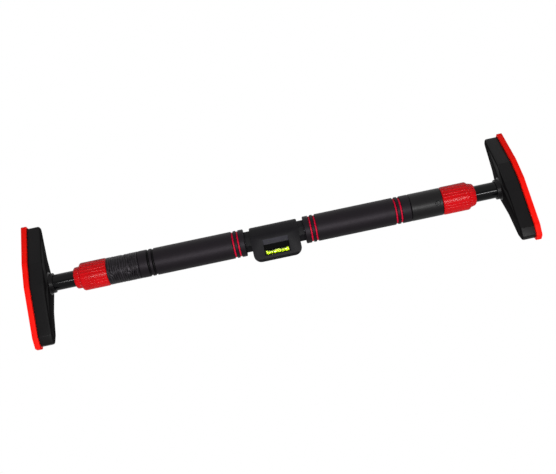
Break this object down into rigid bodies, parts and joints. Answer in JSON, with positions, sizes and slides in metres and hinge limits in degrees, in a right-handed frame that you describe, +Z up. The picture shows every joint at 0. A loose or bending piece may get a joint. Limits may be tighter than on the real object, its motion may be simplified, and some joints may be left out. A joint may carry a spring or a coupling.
{
  "type": "pull up bar",
  "caption": "Telescopic doorway pull up bar: foam grips, a spirit level in the middle, red locking collars and swivelling end plates with rubber pads.",
  "frame": {"origin": "on the bar's axis, halfway between the two pad faces", "axes": "+X along the bar to the right, +Z up in use, -Y towards the user"},
  "size_m": [0.732, 0.0576, 0.1857],
  "materials": {
    "tube_steel": "black powder coat on steel",
    "slide_steel": "gloss black enamel on steel",
    "foam": "closed-cell foam with a matte skin",
    "red_band": "satin red rubber",
    "black_band": "satin black rubber",
    "sleeve_plastic": "satin black nylon",
    "shell_plastic": "satin black ABS",
    "plate_plastic": "satin black glass-filled nylon",
    "collar_plastic": "gloss red nylon",
    "pad_rubber": "matte red rubber",
    "natural_nylon": "natural nylon",
    "black_nylon": "satin black nylon",
    "zinc_steel": "zinc-plated steel",
    "vial_acrylic": "clear tinted acrylic",
    "vial_fluid": "yellow-green vial fluid",
    "vial_air": "air bubble",
    "mark_ink": "black print"
  },
  "bodies": {
    "bar": {"main_tube": "tube_steel", "coupling_sleeve": "shell_plastic", "level_front_shell": "shell_plastic", "level_back_shell": "shell_plastic", "level_screws": "zinc_steel", "vial_tube": "vial_acrylic", "vial_plugs": "vial_fluid", "vial_liquid": "vial_fluid", "vial_marks": "mark_ink", "button_spring": "zinc_steel", "left_grip": "foam", "left_inner_rings": "red_band", "left_outer_rings": "black_band", "left_end_sleeve": "sleeve_plastic", "left_ferrule": "black_nylon", "left_collet": "natural_nylon", "right_grip": "foam", "right_inner_rings": "red_band", "right_outer_rings": "red_band", "right_end_sleeve": "sleeve_plastic", "right_ferrule": "black_nylon", "right_collet": "natural_nylon"},
    "bubble": {"vial_bubble": "vial_air"},
    "button": {"lock_button": "black_nylon"},
    "left_clamp": {"left_clamp_ring": "zinc_steel"},
    "left_collar_body": {"left_collar": "collar_plastic"},
    "left_slider": {"left_slide_tube": "slide_steel", "left_guide": "natural_nylon", "left_tube_plug": "zinc_steel", "left_swivel_bolt": "zinc_steel"},
    "left_plate": {"left_plate_body": "plate_plastic", "left_socket_bush": "black_nylon", "left_core_plate": "zinc_steel", "left_plate_screws": "zinc_steel", "left_swivel_washer": "zinc_steel", "left_pad": "pad_rubber"},
    "right_clamp": {"right_clamp_ring": "zinc_steel"},
    "right_collar_body": {"right_collar": "collar_plastic"},
    "right_slider": {"right_slide_tube": "slide_steel", "right_guide": "natural_nylon", "right_tube_plug": "zinc_steel", "right_swivel_bolt": "zinc_steel"},
    "right_plate": {"right_plate_body": "plate_plastic", "right_socket_bush": "black_nylon", "right_core_plate": "zinc_steel", "right_plate_screws": "zinc_steel", "right_swivel_washer": "zinc_steel", "right_pad": "pad_rubber"}
  },
  "joints": [
    {"name": "bubble_slide", "type": "slide", "parent": "bar", "child": "bubble", "axis": [1, 0, 0], "range_m": [-0.006, 0.006]},
    {"name": "lock_button_press", "type": "slide", "parent": "bar", "child": "button", "axis": [0, 0.891, 0.454], "range_m": [0, 0.001], "stiffness_N_per_m": 400, "springref_m": -0.002},
    {"name": "left_extend", "type": "slide", "parent": "bar", "child": "left_slider", "axis": [-1, 0, 0], "range_m": [0, 0.11]},
    {"name": "left_plate_turn", "type": "hinge", "parent": "left_slider", "child": "left_plate", "pos_m": [-0.34, 0, 0], "axis": [-1, 0, 0], "continuous": true},
    {"name": "left_collar_travel", "type": "slide", "parent": "bar", "child": "left_clamp", "axis": [-1, 0, 0], "range_m": [0, 0.00225]},
    {"name": "left_collar_turn", "type": "hinge", "parent": "left_clamp", "child": "left_collar_body", "pos_m": [-0.27, 0, 0], "axis": [-1, 0, 0], "range_deg": [0, 270.5]},
    {"name": "right_extend", "type": "slide", "parent": "bar", "child": "right_slider", "axis": [1, 0, 0], "range_m": [0, 0.11]},
    {"name": "right_plate_turn", "type": "hinge", "parent": "right_slider", "child": "right_plate", "pos_m": [0.34, 0, 0], "axis": [1, 0, 0], "continuous": true},
    {"name": "right_collar_travel", "type": "slide", "parent": "bar", "child": "right_clamp", "axis": [1, 0, 0], "range_m": [0, 0.00225]},
    {"name": "right_collar_turn", "type": "hinge", "parent": "right_clamp", "child": "right_collar_body", "pos_m": [0.27, 0, 0], "axis": [1, 0, 0], "range_deg": [0, 270.5]}
  ],
  "couplings": [
    {"joint": "left_collar_turn", "follows": "left_collar_travel", "rad_per_m": 2094.4},
    {"joint": "right_collar_turn", "follows": "right_collar_travel", "rad_per_m": 2094.4}
  ]
}
